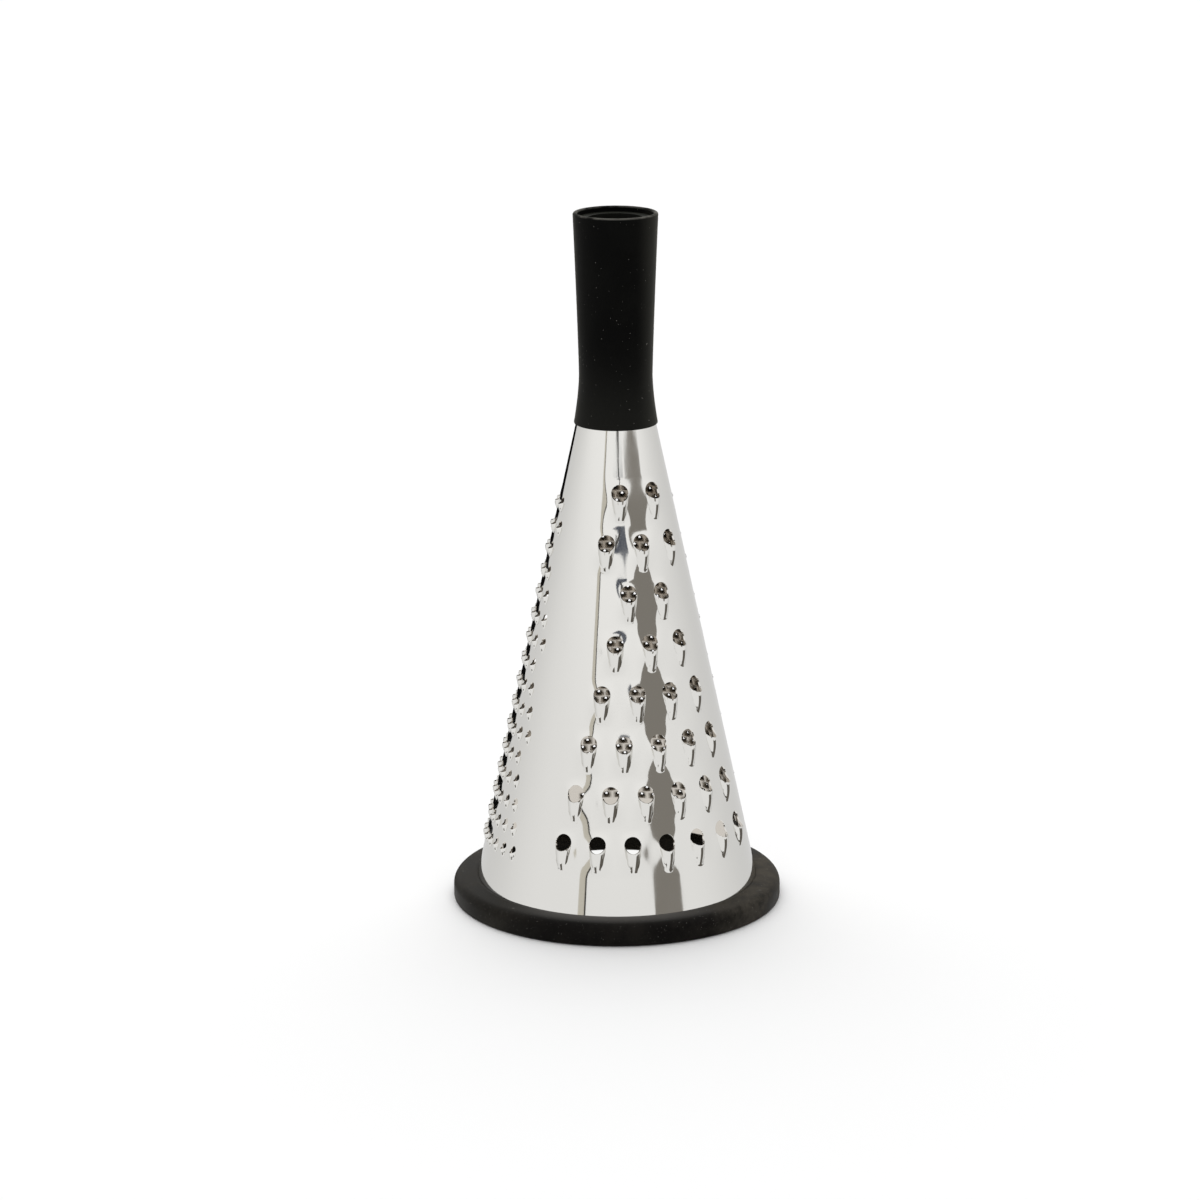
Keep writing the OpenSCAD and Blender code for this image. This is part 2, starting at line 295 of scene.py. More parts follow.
medium_facing = -95.5
medium_hole_r = 1.35 * mm
medium = PunchedFace(
    medium_facing,
    first_z=25.8 * mm,
    row_pitch=8.36 * mm,
    arc_pitch=5.9 * mm,
    counts=[13, 12, 11, 10, 9, 10, 9, 8, 7, 8, 7, 6, 5, 4, 5, 4],
    down_share=0.67,
    across=4,
    along=6,
)

fine_facing = 150.0
fine_hole_r = 0.55 * mm
fine_first_z = 22.5 * mm
fine_row_pitch = 2.9 * mm
fine_arc_pitch = 4.4 * mm
fine_width = 0.84 * face_step
fine_row = np.arange(47)
fine_row_r = sheet_r(fine_first_z / math.cos(slope) + fine_row * fine_row_pitch)
fine_most = fine_width * fine_row_r // fine_arc_pitch
fine = PunchedFace(
    fine_facing,
    first_z=fine_first_z,
    row_pitch=fine_row_pitch,
    arc_pitch=fine_arc_pitch,
    counts=(fine_most - (fine_most + fine_row) % 2).astype(int),
    down_share=0.44,
    across=2,
    along=2,
)


def coarse_form(x, y):
    """A coarse scoop on a soft swell that its punch left in the sheet."""
    lifted = 0.3 * mm * swell(x, y + 3.2 * mm, coarse.half, 8.8 * mm)
    cut = scoop(x, y, coarse_hole_r, rise=2 * mm, reach=10.4 * mm, fillet=0.25 * mm, mouth=(-0.2, 0.85))
    return cut + lifted


def medium_form(x, y):
    """A medium scoop, short and steep, on a slighter swell."""
    lifted = 0.1 * mm * swell(x, y + 1.3 * mm, medium.half, 4.1 * mm)
    cut = scoop(x, y, medium_hole_r, rise=1.4 * mm, reach=4.4 * mm, fillet=0.12 * mm, mouth=(0.25, 1.1))
    return cut + lifted


def fine_form(x, y):
    """A fine spike, burst out from the inside."""
    return spike(x, y, fine_hole_r, foot=1.55 * mm, rise=1 * mm)


coarse_outline = teardrop(top_r=3.6 * mm, tip_r=2.2 * mm, tip_y=8.7 * mm, count=coarse.around)
medium_outline = teardrop(top_r=1.7 * mm, tip_r=0.95 * mm, tip_y=3.6 * mm, count=medium.around)
fine_outline = even_circle(1.22 * mm, fine.around)
coarse.shape(coarse_form, coarse_hole_r, coarse_outline, inner_rings=6, outer_rings=2)
medium.shape(medium_form, medium_hole_r, medium_outline, inner_rings=3, outer_rings=1)
fine.shape(fine_form, fine_hole_r, fine_outline, inner_rings=2, outer_rings=1)

# The seam is opposite the coarse face. The blank's beginning reaches lap_under past it, and its end reaches
# lap_over past it the other way, on top.
face_low = math.radians(coarse_facing - 180)
face_gap = math.radians(0.8)
ripple_depth = 0.012 * mm
lap_under = 0.8 * mm
lap_over = 6 * mm
lap_joggle = 1.5 * mm
lap_gap = 0.02 * mm
weld_x = 2.5 * mm
weld_r = 1.6 * mm
weld_depth = 0.12 * mm
weld_first = 20 * mm
weld_pitch = 21 * mm


def sheet_height(phi, v):
    """How far the sheet's outside stands off the true cone: its teeth, the faint ripples that rolling left,
    the step up where its end laps over its beginning, and the welds' shallow dimples there."""
    teeth = coarse.height(phi, v) + medium.height(phi, v) + fine.height(phi, v)
    ripple = ripple_depth * (np.sin(11 * phi + 0.4) + 0.5 * np.sin(23 * phi + 60 * v + 1.9))
    from_seam = (phi - face_low - 2 * math.pi) * sheet_r(v)
    step = (sheet_t + lap_gap) * eased(from_seam, -lap_under - lap_joggle, -lap_under)
    seam_x = (np.mod(phi - face_low + math.pi, 2 * math.pi) - math.pi) * sheet_r(v) - weld_x
    weld_y = np.mod(v - weld_first + weld_pitch / 2, weld_pitch) - weld_pitch / 2
    welded = np.where(v > neck_z, 0, 1 - eased(np.hypot(seam_x, weld_y), 0.4 * weld_r, weld_r))
    return teeth + ripple + step - weld_depth * welded


def sheet_outside(phi, v):
    """The sheet's outside: the rolled blank at the sheet's own height."""
    return rolled(phi, v, sheet_height(phi, v))


def sheet_normal(phi, v):
    """The outside's unit normal: the cross product of its two directions, by central differences."""
    nudge = 0.02 * mm
    turn = nudge / sheet_r(v)
    across = sheet_outside(phi + turn, v) - sheet_outside(phi - turn, v)
    along = sheet_outside(phi, v + nudge) - sheet_outside(phi, v - nudge)
    normal = np.cross(across, along)
    return normal / np.linalg.norm(normal, axis=-1, keepdims=True)


# The longest steps of the mesh: on plain steel, up the foot, beside the fine face and up the lap.
plain_step = 3.5 * mm
foot_step = 6 * mm
dense_step = 1 * mm
lap_step = 1.1 * mm


def whole_blank():
    """The three faces side by side and the two ends that lap, as corners (phi, v) of quads and of
    triangles."""
    bend_levels = bend_v - bend_r * flange_turn * np.linspace(1, 0, 5)
    quads, triangles, sides = [], [], []
    spacing = ((medium, plain_step), (coarse, plain_step), (fine, dense_step))
    for third, (face, margin_step) in enumerate(spacing):
        low = face_low + third * face_step + face_gap / 2
        first_cell = face.rows[0][0] - face.down - face.join
        foot_levels = even_steps(bend_v, first_cell, foot_step)[1:]
        low_levels = np.concatenate([[blank_low], bend_levels, foot_levels])
        made = face.blank(low, low + face_step - face_gap, low_levels, blank_high, plain_step, margin_step)
        quads += made[0]
        triangles += made[1]
        sides.append(made[2])
    for third in (0, 1):
        border = face_low + (third + 1) * face_step
        left = upright_points(border - face_gap / 2, sides[third])
        right = upright_points(border + face_gap / 2, sides[third + 1])
        triangles.append(joined(left, right, 1))
    start_v = sides[0][:, None]
    start_turn = np.concatenate([-lap_under / sheet_r(start_v), 0 * start_v + face_gap / 2], axis=1)
    quads.append(grid_quads(face_low + start_turn, start_v))
    end_levels = even_steps(bend_v, blank_high, lap_step)[1:]
    end_v = np.concatenate([[blank_low], bend_levels, end_levels])[:, None]
    end_phi = face_low + 2 * math.pi
    end_turn = (lap_over / sheet_r(end_v)) * np.linspace(0, 1, 8)
    quads.append(grid_quads(end_phi + end_turn, end_v))
    last = upright_points(end_phi - face_gap / 2, sides[2])
    first = upright_points(end_phi, end_v[:, 0])
    triangles.append(joined(last, first, 1))
    return np.concatenate(quads), np.concatenate(triangles)


def welded_corners(*soups):
    """Shared points for faces given as corners (phi, v), which are one point where they round to the same
    step: the points, and each soup's faces as indices that run anticlockwise seen from outside."""
    corners = np.concatenate([soup.reshape(-1, 2) for soup in soups])
    merge_step = np.array([1e-8, 1e-9])
    rounded = np.rint(corners / merge_step).astype(np.int64)
    first, index = np.unique(rounded, axis=0, return_index=True, return_inverse=True)[1:]
    points = corners[first]
    faces, used = [], 0
    for soup in soups:
        face = index.ravel()[used:used + soup.shape[0] * soup.shape[1]].reshape(soup.shape[:2])
        used += face.size
        x, y = points[face].transpose(2, 0, 1)
        area = (x * np.roll(y, -1, axis=1) - np.roll(x, -1, axis=1) * y).sum(axis=1)
        faces.append(np.where((area < 0)[:, None], face[:, ::-1], face))
    return points, faces


def open_edges(faces):
    """The edges that only one face has, each as (from, to) the way that its face runs."""
    edges = np.concatenate([np.stack([f, np.roll(f, -1, axis=1)], axis=-1).reshape(-1, 2) for f in faces])
    both_ways = np.sort(edges, axis=1)
    index, count = np.unique(both_ways, axis=0, return_inverse=True, return_counts=True)[1:]
    return edges[count[index.ravel()] == 1]


def mesh_object(name, points, faces, normals=None):
    """A new piece from its points, its faces as arrays of indices and, if given, its corners' normals."""
    mesh = bpy.data.meshes.new(name)
    corners = np.concatenate([face.ravel() for face in faces])
    sizes = np.concatenate([np.full(len(face), face.shape[1]) for face in faces])
    mesh.vertices.add(len(points))
    mesh.vertices.foreach_set("co", points.astype(np.float32).ravel())
    mesh.loops.add(len(corners))
    mesh.loops.foreach_set("vertex_index", corners.astype(np.int32))
    mesh.polygons.add(len(sizes))
    mesh.polygons.foreach_set("loop_start", (np.cumsum(sizes) - sizes).astype(np.int32))
    mesh.polygons.foreach_set("use_smooth", np.ones(len(sizes), bool))
    mesh.update(calc_edges=True)
    if normals is not None:
        mesh.normals_split_custom_set(normals)
    made = bpy.data.objects.new(name, mesh)
    bpy.context.scene.collection.objects.link(made)
    return made


def steel_sheet(name):
    """The rolled sheet as a closed shell: its outside, the same faces one thickness in, and walls that join
    them round every hole and along every end. The fine spikes are stretched thin towards their torn rims.
    The outside's own normals keep its reflections clean."""
    flat, (quads, triangles) = welded_corners(*whole_blank())
    phi, v = flat.T
    normal = sheet_normal(phi, v)
    outside = sheet_outside(phi, v)
    spiked = fine.height(phi, v)[:, None]
    stretched = np.clip(spiked / (0.6 * mm), 0, 1)
    thickness = sheet_t * (1 - 0.75 * stretched)
    points = np.concatenate([outside, outside - thickness * normal])
    inner = len(flat)
    edges = open_edges([quads, triangles])
    walls = np.concatenate([edges[:, ::-1], edges + inner], axis=1)
    ends = points[walls]
    wall_normal = np.cross(ends[:, 1] - ends[:, 0], ends[:, 3] - ends[:, 0])
    wall_normal /= np.linalg.norm(wall_normal, axis=1, keepdims=True)
    faces = [quads, triangles, quads[:, ::-1] + inner, triangles[:, ::-1] + inner, walls]
    both = np.concatenate([normal, -normal])
    corner_normals = [both[face.ravel()] for face in faces[:4]] + [np.repeat(wall_normal, 4, axis=0)]
    made = mesh_object(name, points, faces, np.concatenate(corner_normals))
    # Painted shade: the fine spikes' steel is darkened, fully on the inside and partly outside, and the
    # same mask roughens it.
    spike_shade_outside = 0.4 * np.clip(spiked / (0.45 * mm), 0, 1)
    spike_shade_inside = np.clip(spiked / (0.12 * mm), 0, 1)
    inside = np.repeat([0, 1], inner)
    for attribute, values in (("burst", np.concatenate([spike_shade_outside, spike_shade_inside])), ("inside", inside)):
        painted = made.data.attributes.new(attribute, "FLOAT", "POINT")
        painted.data.foreach_set("value", values.astype(np.float32).ravel())
    return made


steel_cone = steel_sheet("steel_cone")


class Socket:
    """A number or colour on its way through a material's nodes. Arithmetic on it adds Math nodes."""

    def __init__(self, tree, link):
        self.tree = tree
        self.link = link

    def math(self, operation, *others):
        """A Math node on this socket and the others."""
        return node(self.tree, "ShaderNodeMath", {"operation": operation}, [self, *others])

    def __add__(self, other):
        return self.math("ADD", other)

    def __mul__(self, other):
        return self.math("MULTIPLY", other)

    def __sub__(self, other):
        return self.math("SUBTRACT", other)

    def __rsub__(self, other):
        return node(self.tree, "ShaderNodeMath", {"operation": "SUBTRACT"}, [other, self])

    __radd__ = __add__
    __rmul__ = __mul__

    def between(self, low, high):
        """0 below low, 1 above high, eased between; falls instead where low is the greater."""
        settings = {"interpolation_type": "SMOOTHSTEP"}
        if low < high:
            return node(self.tree, "ShaderNodeMapRange", settings, [self, low, high])
        return 1 - node(self.tree, "ShaderNodeMapRange", settings, [self, high, low])


def node(tree, kind, settings, values, output=0):
    """One node: its settings first, then the values or links of its sockets, by place or by name."""
    made = tree.nodes.new(kind)
    for name, setting in settings.items():
        setattr(made, name, setting)
    for place, value in values.items() if isinstance(values, dict) else enumerate(values):
        if isinstance(value, Socket):
            tree.links.new(value.link, made.inputs[place])
        else:
            made.inputs[place].default_value = value
    return Socket(tree, made.outputs[output])


def mixed(factor, first, second):
    """One colour turning into another as the factor goes from 0 to 1. A Mix node's colours share their
    names with its numbers, so its sockets go by place: 0, 6 and 7 in, 2 out."""
    ends = [(*end, 1) if isinstance(end, tuple) else end for end in (first, second)]
    settings = {"data_type": "RGBA", "blend_type": "MIX"}
    return node(factor.tree, "ShaderNodeMix", settings, {0: factor, 6: ends[0], 7: ends[1]}, 2)


def new_material(name, same_all_over):
    """A material, its node tree and its main shader, which holds all that is the same all over."""
    material = bpy.data.materials.new(name)
    material.use_nodes = True
    principled = material.node_tree.nodes["Principled BSDF"]
    for socket, value in same_all_over.items():
        principled.inputs[socket].default_value = value
    return material, material.node_tree, principled


def object_place(tree, scale=(1, 1, 1)):
    """The point in the object's own metres, stretched along the axes."""
    place = node(tree, "ShaderNodeTexCoord", {}, [], "Object")
    return node(tree, "ShaderNodeVectorMath", {"operation": "MULTIPLY"}, [place, scale])


def along_axis(place, axis):
    """One of a point's coordinates, "X", "Y" or "Z"."""
    return node(place.tree, "ShaderNodeSeparateXYZ", {}, [place], axis)


def noise(place, scale, detail=2.0, roughness=0.5):
    """Soft cloud noise round 0.5."""
    values = {"Vector": place, "Scale": scale, "Detail": detail, "Roughness": roughness}
    return node(place.tree, "ShaderNodeTexNoise", {}, values)


def bumped(tree, height, strength, distance):
    """A normal tilted by a height."""
    values = {"Strength": strength, "Distance": distance, "Height": height}
    return node(tree, "ShaderNodeBump", {}, values)


def polished_steel():
    """Mirror-polished stainless steel: a faint haze of rubbing and finger marks, wiped up the slope, a
    duller inside, and painted shade that darkens the fine teeth, fully inside and partly outside."""
    material, tree, shader = new_material("polished_steel", {"Metallic": 1})
    smears = noise(object_place(tree, (1, 1, 0.35)), 60, 4, 0.6).between(0.45, 0.75)
    fine_rub = noise(object_place(tree, (1, 1, 0.12)), 900, 2)
    burst = node(tree, "ShaderNodeAttribute", {"attribute_name": "burst"}, [], "Fac")
    inside = node(tree, "ShaderNodeAttribute", {"attribute_name": "inside"}, [], "Fac")
    mirror_bright = (0.79, 0.78, 0.75)
    inside_dull = (0.62, 0.58, 0.53)
    spike_shade_dark = (0.1, 0.085, 0.065)
    # Painted shade: the burst mask mixes a dark colour into the fine spikes.
    colour = mixed(burst, mixed(inside, mirror_bright, inside_dull), spike_shade_dark)
    rough = 0.035 + 0.05 * smears + 0.02 * fine_rub + 0.08 * inside + 0.1 * burst
    tree.links.new(colour.link, shader.inputs["Base Color"])
    tree.links.new(rough.link, shader.inputs["Roughness"])
    return material


steel_cone.data.materials.append(polished_steel())
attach(steel_cone, "root")
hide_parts("grater_cone")


# Rubber foot ring
# One moulded ring of soft charcoal rubber, stretched over the steel's turned-out flange, which its inner
# groove holds. Its broad top slopes to a full round and its side stands upright.

ring_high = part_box("base_ring")[1]
ring_r = ring_high.x
ring_h = ring_high.z
ring_lip_r = 48.6 * mm
ring_round_r = 3.2 * mm
ring_foot_round_r = 0.7 * mm
dome_h = 0.4 * mm
ring_bevel = 0.4 * mm
groove_gap = 0.15 * mm


def arc(middle_r, middle_z, radius, start, end, count):
    """Points of a round in the (r, z) plane; angles in degrees from outwards, growing upwards."""
    angle = np.radians(np.linspace(start, end, count))
    return np.stack([middle_r + radius * np.cos(angle), middle_z + radius * np.sin(angle)], axis=1)


def turned(name, profile, count):
    """A closed profile of (r, z) points carried once round the axis. The profile runs anticlockwise."""
    turn = 2 * math.pi * np.arange(count) / count
    r, z = profile.T
    x, y = r * np.sin(turn)[:, None], -r * np.cos(turn)[:, None]
    points = np.stack([x, y, np.tile(z, (count, 1))], axis=-1)
    index = np.arange(count * len(profile)).reshape(count, -1)
    beside = np.roll(index, -1, axis=0)
    faces = np.stack([index, beside, np.roll(beside, -1, axis=1), np.roll(index, -1, axis=1)], axis=-1)
    return mesh_object(name, points.reshape(-1, 3), [faces.reshape(-1, 4)])


def ring_profile():
    """The ring's section: flat foot, upright side, full round, gently domed top and the flange's groove."""
    cone_at = sheet_r(ring_h / math.cos(slope)) + 0.03 * mm
    flange_top = cone_low.z + sheet_t + 0.1 * mm
    dome = arc(ring_r - ring_round_r, ring_h - dome_h - ring_round_r, ring_round_r, 0, 78, 12)
    crest_r = dome[-1, 0]
    top = np.linspace([crest_r - 0.6 * mm, dome[-1, 1] + 0.1 * mm], [cone_at + 0.2 * mm, ring_h], 6)
    groove_r = cone_high.x + groove_gap
    inner_r = sheet_r(cone_low.z) - sheet_t - groove_gap
    rest = np.array([
        [cone_at + 0.03 * mm, ring_h - 0.15 * mm],
        [cone_at + 0.9 * mm, flange_top + 0.3 * mm],
        [groove_r, flange_top],
        [groove_r, cone_low.z - groove_gap / 2],
        [inner_r, cone_low.z - groove_gap / 2],
        [inner_r - 0.9 * mm, ring_h - ring_bevel],
        [inner_r - 1.2 * mm, ring_h],
        [ring_lip_r + ring_bevel, ring_h],
        [ring_lip_r, ring_h - ring_bevel],
        [ring_lip_r, ring_bevel],
        [ring_lip_r + ring_bevel, 0],
    ])
    foot = arc(ring_r - ring_foot_round_r, ring_foot_round_r, ring_foot_round_r, -90, 0, 6)
    return np.concatenate([foot, dome, top, rest])


foot_ring = turned("foot_ring", ring_profile(), 240)
foot_ring.data.set_sharp_from_angle(angle=math.radians(50))


def ring_rubber():
    """Charcoal rubber: painted shade makes its front nearly black, but for a painted sheen beside the
    steel.
    Dust mottles it, less in front and more on the right as painted shade and light, with a few fine pale
    scratches and specks."""
    material, tree, shader = new_material("ring_rubber", {"Specular IOR Level": 0.05})
    place = object_place(tree)
    # Painted shade: towards the front the rubber turns near-black and its dust thins.
    away_from_front = along_axis(place, "Y").between(-54 * mm, -34 * mm)
    # Painted light: the dust mottle is weighted to grow paler towards the right.
    rightward = along_axis(place, "X").between(-30 * mm, 56 * mm)
    mottle = noise(place, 60, 7, 0.74).between(0.38, 0.68) * (0.2 + 0.8 * away_from_front)
    mottle = mottle * (0.5 + 1.0 * rightward)
    level = object_place(tree, (1, 1, 0))
    from_axis = node(tree, "ShaderNodeVectorMath", {"operation": "LENGTH"}, [level], "Value")
    # Painted reflection: a grey sheen on the front's top edge beside the steel.
    sheen_near_steel = from_axis.between(57 * mm, 51 * mm) * (1 - away_from_front)
    specks = noise(place, 2600, 1).between(0.735, 0.79)
    scratches = noise(object_place(tree, (1, 1, 9)), 210, 3, 0.6).between(0.68, 0.76)
    front_shade_black = (0.0045, 0.0038, 0.0034)
    charcoal = (0.01, 0.0088, 0.0066)
    sheen_grey = (0.12, 0.113, 0.106)
    dust_and_lit_brown = (0.075, 0.067, 0.055)
    scratch_grey = (0.13, 0.125, 0.115)
    speck_white = (0.3, 0.29, 0.27)
    colour = mixed(away_from_front, front_shade_black, charcoal)
    colour = mixed(0.8 * sheen_near_steel, colour, sheen_grey)
    colour = mixed(0.6 * mottle, colour, dust_and_lit_brown)
    colour = mixed(0.5 * scratches, colour, scratch_grey)
    colour = mixed(0.7 * specks, colour, speck_white)
    grain = noise(place, 3000, 2)
    tree.links.new(colour.link, shader.inputs["Base Color"])
    tree.links.new((0.4 + 0.25 * mottle).link, shader.inputs["Roughness"])
    tree.links.new(bumped(tree, grain, 0.25, 0.06 * mm).link, shader.inputs["Normal"])
    return material


foot_ring.data.materials.append(ring_rubber())
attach(foot_ring, "root")
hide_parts("base_ring")


# Handle grip
# A waisted sleeve of soft-touch black elastomer, moulded over the hard core. It is open at the top, where
# its lip stands a little above the core's edge, and its skirt covers the steel neck.

grip_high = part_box("handle_grip")[1]
core_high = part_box("handle_core")[1]
grip_waist_r = 13 * mm
grip_waist_z = neck_z + 17.5 * mm
grip_foot_r = 14.9 * mm
grip_foot_round_r = 0.4 * mm
grip_top_r = grip_high.x
grip_lip_r = 0.8 * mm
grip_wall = 1.2 * mm
grip_gap = 0.1 * mm


def grip_r(z):
    """The grip's outside: the waist's radius, plus a power of the distance from the waist down or up."""
    below = np.maximum(grip_waist_z - z, 0) / (grip_waist_z - neck_z)
    above = np.maximum(z - grip_waist_z, 0) / (grip_high.z - grip_waist_z)
    flare_down = (grip_foot_r - grip_waist_r) * below**1.6
    flare_up = (grip_top_r - grip_waist_r) * above**1.2
    return grip_waist_r + flare_down + flare_up


def grip_profile():
    """The sleeve's section: up the outside, over the rounded lip, down past the core, then down round the
    neck."""
    foot_z = neck_z + 0.35 * mm
    side_z = np.linspace(foot_z + 0.5 * mm, grip_high.z - grip_lip_r, 46)
    side = np.stack([grip_r(side_z), side_z], axis=1)
    foot_round_z = neck_z + grip_foot_round_r
    foot = arc(grip_r(foot_z) - grip_foot_round_r, foot_round_z, grip_foot_round_r, -90, -10, 5)
    lip = arc(grip_top_r - grip_lip_r, grip_high.z - grip_lip_r, grip_lip_r, 12, 168, 12)
    lip[:, 0] -= 0.02 * mm
    inner_z = np.linspace(core_high.z, cone_high.z, 16)
    inner = np.stack([grip_r(inner_z) - grip_wall + grip_gap, inner_z], axis=1)
    neck_top = sheet_r(cone_high.z / math.cos(slope)) + grip_gap
    neck_foot = sheet_r(neck_z / math.cos(slope)) + grip_gap
    inner_lip = np.array([[inner[0, 0] + 0.05 * mm, grip_high.z - grip_lip_r - 0.1 * mm]])
    neck = np.array([
        [neck_top, cone_high.z],
        [neck_foot + 0.02 * mm, neck_z + 0.15 * mm],
        [neck_foot + 0.12 * mm, neck_z],
    ])
    return np.concatenate([foot, side, lip, inner_lip, inner, neck])


handle_sleeve = turned("handle_sleeve", grip_profile(), 160)
handle_sleeve.data.set_sharp_from_angle(angle=math.radians(50))


def grip_rubber():
    """Soft-touch black, a little dusty and lighter towards the foot, with painted light that pales its
    right side, a few fine specks and a lip that handling has worn paler."""
    soft = {
        "Specular IOR Level": 0.05,
        "Sheen Weight": 0.13,
        "Sheen Roughness": 0.3,
        "Sheen Tint": (1, 0.97, 0.85, 1),
    }
    material, tree, shader = new_material("grip_rubber", soft)
    place = object_place(tree)
    mottle = noise(place, 70, 4, 0.6).between(0.4, 0.75)
    specks = noise(place, 1500, 1).between(0.765, 0.81)
    rightward = along_axis(place, "X")
    height = along_axis(place, "Z")
    lip = height.between(grip_high.z - 0.7 * mm, grip_high.z - 0.2 * mm)
    worn = lip * noise(place, 190, 3).between(0.36, 0.6)
    deep_black = (0.0014, 0.0014, 0.0012)
    dusty_black = (0.007, 0.007, 0.006)
    foot_black = (0.011, 0.011, 0.0095)
    right_side_light = (0.024, 0.0235, 0.019)
    worn_grey = (0.15, 0.145, 0.13)
    speck_grey = (0.25, 0.24, 0.22)
    colour = mixed(0.4 * mottle, deep_black, dusty_black)
    # Lighter towards the foot.
    colour = mixed(height.between(neck_z + 30 * mm, neck_z), colour, foot_black)
    # Painted light: the right side is paler.
    colour = mixed(rightward.between(7 * mm, 16 * mm), colour, right_side_light)
    colour = mixed(0.75 * worn, colour, worn_grey)
    colour = mixed(specks, colour, speck_grey)
    tree.links.new(colour.link, shader.inputs["Base Color"])
    tree.links.new((0.62 + 0.12 * mottle).link, shader.inputs["Roughness"])
    grain = noise(place, 3500, 2)
    tree.links.new(bumped(tree, grain, 0.2, 0.05 * mm).link, shader.inputs["Normal"])
    return material


handle_sleeve.data.materials.append(grip_rubber())
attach(handle_sleeve, "root")
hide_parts("handle_grip")


# Handle core, neck plug, washer and screw
# The hard black core is moulded plastic and shows only as the wall inside the lip. The tapered plug fills
# the neck from below, and one plated screw with a washer draws the handle down onto the steel.


def moulded_plastic(name, colour, rough):
    """Plain matte moulded plastic with a faint, fine texture."""
    plain = {"Base Color": (*colour, 1), "Specular IOR Level": 0.12}
    material, tree, shader = new_material(name, plain)
    texture = noise(object_place(tree), 1800, 2)
    tree.links.new((rough + 0.1 * texture).link, shader.inputs["Roughness"])
    return material


def plated_steel():
    """Zinc-plated steel, a little clouded."""
    zinc = {"Base Color": (0.62, 0.61, 0.59, 1), "Metallic": 1}
    material, tree, shader = new_material("screw_steel", zinc)
    clouds = noise(object_place(tree), 350, 3)
    tree.links.new((0.25 + 0.2 * clouds).link, shader.inputs["Roughness"])
    return material


def finish_node(name, material):
    """Gives a CAD node a finish in place of the one that it came with."""
    bpy.data.objects[name].data.materials.clear()
    bpy.data.objects[name].data.materials.append(material)


plating = plated_steel()
finish_node("handle_core", moulded_plastic("core_plastic", (0.009, 0.0095, 0.007), 0.5))
finish_node("neck_plug", moulded_plastic("plug_plastic", (0.02, 0.02, 0.019), 0.5))
finish_node("screw_washer", plating)
finish_node("fixing_screw", plating)


# Table and backdrop
# A white table top that runs out of sight and keeps the grater's own soft shadow. The steel doesn't see
# it, but the white room on all sides.


def flat_card(name, corners):
    """A flat sheet from its corners in order."""
    return mesh_object(name, np.array(corners, float), [np.arange(len(corners))[None]])


table_half = 6.0
table_corners = table_half * np.array([(-1, -1, 0), (1, -1, 0), (1, 1, 0), (-1, 1, 0)])
table_top = flat_card("table_top", table_corners)


def table_white():
    """White laminate, quite matte."""
    dull = {"Base Color": (0.96, 0.96, 0.96, 1), "Roughness": 1, "Specular IOR Level": 0}
    return new_material("table_white", dull)[0]


table_top.data.materials.append(table_white())
table_top.visible_glossy = False


# Studio light
# A white room gives two fifths of the light, and one broad lamp, behind and above, the rest and a soft
# shadow. Cards that only the steel sees stand for the things in the room, and a pale disc inside the cone
# glows as painted light where the table that shows through the holes lies in shade.

diffuse_level = 0.425


def white_room():
    """A world that the camera sees plain white and that lights matte things at a plain level. In the
    steel it is a little darker behind and near the floor."""
    world = bpy.data.worlds.new("white_room")
    world.use_nodes = True
    tree = world.node_tree
    camera_ray = node(tree, "ShaderNodeLightPath", {}, [], "Is Camera Ray")
    glossy_ray = node(tree, "ShaderNodeLightPath", {}, [], "Is Glossy Ray")
    through_ray = node(tree, "ShaderNodeLightPath", {}, [], "Is Transmission Ray")
    seen = camera_ray.math("MAXIMUM", through_ray)
    direction = node(tree, "ShaderNodeTexCoord", {}, [], "Generated")
    behind = along_axis(direction, "Y").between(-0.5, 1)
    low_down = along_axis(direction, "Z").between(0.2, 0.06)
    mirrored_room = 1 - 0.2 * behind - 0.1 * low_down
    strength = diffuse_level + (1 - diffuse_level) * seen + (mirrored_room - diffuse_level) * glossy_ray
    background = tree.nodes["Background"]
    background.inputs["Color"].default_value = (1, 1, 1, 1)
    tree.links.new(strength.link, background.inputs["Strength"])
    return world


bpy.context.scene.world = white_room()


def aimed(name, data, place, target):
    """A lamp at a place, shining towards a target."""
    made = bpy.data.objects.new(name, data)
    made.location = place
    made.rotation_euler = (target - place).to_track_quat("-Z", "Y").to_euler()
    bpy.context.scene.collection.objects.link(made)
    return made


def reflected_card(name, colour, away, corners):
    """A card that only the steel sees, upright and facing the axis. Its corners are directions: degrees
    from -Y towards +X, and degrees of elevation from the table."""
    turn, rise = np.radians(corners).T
    reach = away / np.cos(turn - turn.mean())
    places = np.stack([reach * np.sin(turn), -reach * np.cos(turn), away * np.tan(rise)], axis=1)
    seen_in_steel(flat_card(name, places), name, colour)


def seen_in_steel(card, name, colour):
    """Gives a card an even glow and hides it from all but reflections."""
    material = bpy.data.materials.new(name)
    material.use_nodes = True
    tree = material.node_tree
    glow = node(tree, "ShaderNodeEmission", {}, {"Color": (*colour, 1), "Strength": 1.0})
    tree.links.new(glow.link, tree.nodes["Material Output"].inputs["Surface"])
    card.data.materials.append(material)
    card.visible_camera = False
    card.visible_diffuse = False
    card.visible_shadow = False


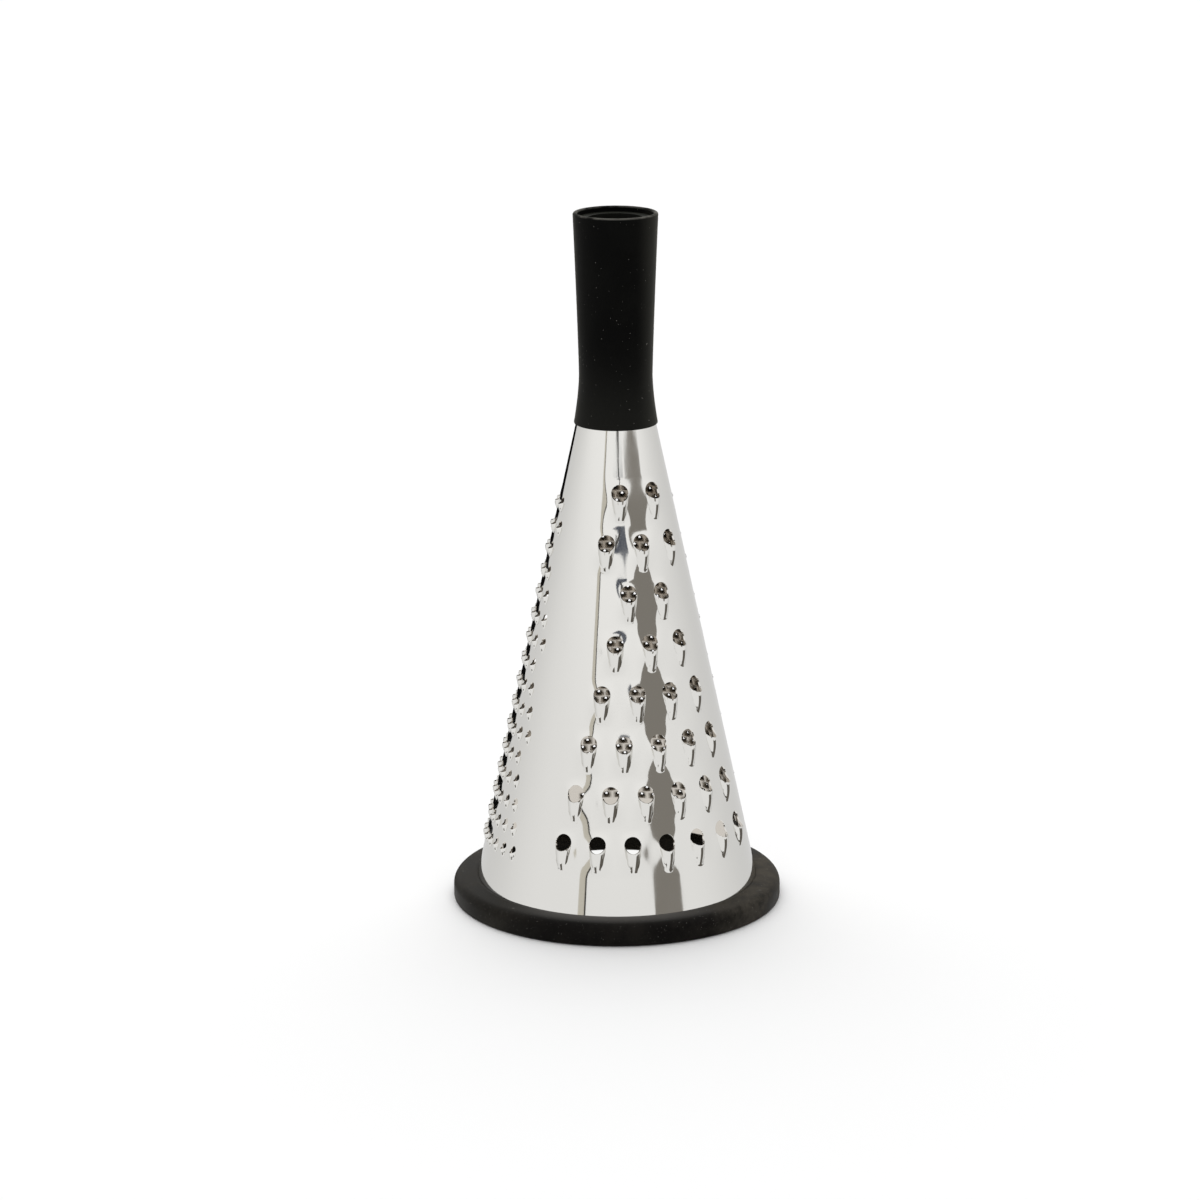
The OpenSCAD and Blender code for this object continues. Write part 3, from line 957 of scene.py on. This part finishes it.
screen = [(30.5, 0), (52.5, 0), (56, 8.2), (58, 12), (60, 13.6)]
screen += [(44, 15.6), (19, 16.8), (29, 13.5), (31.5, 8.5)]
window = [(3, 13.2), (17, 13.2), (16, 15.2), (-7, 15.2)]
pole = [(6, 14.6), (7.6, 14.6), (7.4, 16.2), (9.5, 16.5), (9.5, 16.8), (7.8, 17), (7.8, 24), (5.8, 24)]
pole += [(5.8, 17), (0.5, 16.8), (0.5, 16.5), (4.6, 16.2)]
reflected_card("grey_screen", (0.235, 0.22, 0.198), 2.0, screen)
reflected_card("blue_window", (0.1, 0.11, 0.135), 2.2, window)
reflected_card("grey_pole", (0.07, 0.068, 0.065), 2.1, pole)
reflected_card("dark_stand", (0.02, 0.018, 0.015), 2.3, [(-26, 0), (-24.6, 0), (-25.2, 22), (-26, 22)])
reflected_card("beige_curtain", (0.6, 0.57, 0.5), 2.4, [(-31.5, 0), (-25.5, 0), (-25.5, 22), (-28, 22)])
reflected_card("dark_chair", (0.13, 0.12, 0.105), 2.2, [(42, -52), (106, -52), (102, -8), (54, -8)])
reflected_card("dark_rug", (0.13, 0.12, 0.105), 2.2, [(-66, -58), (-14, -58), (-16, -33), (-62, -33)])
reflected_card("dark_wall", (0.004, 0.004, 0.004), 2.4, [(-145, -11), (-183, -18.4), (-183, 2), (-145, 2)])

# Painted light: an evenly glowing disc on the table inside the cone, seen by the camera and the steel.
disc_r = 47 * mm
disc_z = 0.5 * mm
disc_points = 48
disc_x, disc_y = even_circle(disc_r, disc_points)
disc_edge = np.stack([disc_x, disc_y, np.full(disc_points, disc_z)], axis=1)
floor_inside = flat_card("floor_inside", disc_edge)
seen_in_steel(floor_inside, "floor_inside", (0.95, 0.95, 0.94))
floor_inside.visible_camera = True

soft_top = bpy.data.lights.new("soft_top_lamp", "SUN")
soft_top.angle = 1.2
soft_top.energy = 2.27
soft_top_lamp = aimed("soft_top_lamp", soft_top, Vector((-0.12, 1.1, 2)), Vector((0, 0, 0)))
soft_top_lamp.visible_glossy = False


# Camera
# In front and a little above, with a long lens, as in the photograph. Its place and turn are fitted to the
# ring's and the cone's edges there.

camera_back = 1.3701
camera_up = 0.4725
lens_yaw = -0.0034
lens_pitch = 0.2586
lens_roll = 0.0032

camera = bpy.data.cameras.new("camera")
camera.sensor_width = 36
camera.sensor_fit = "AUTO"
camera.lens = 118.87
camera.clip_end = 50
camera_object = bpy.data.objects.new("camera", camera)
camera_object.location = (0, -camera_back, camera_up)
camera_object.rotation_euler = Euler((math.pi / 2 - lens_pitch, lens_roll, -lens_yaw), "XYZ")
bpy.context.scene.collection.objects.link(camera_object)
bpy.context.scene.camera = camera_object
bpy.context.scene.view_settings.view_transform = "Standard"
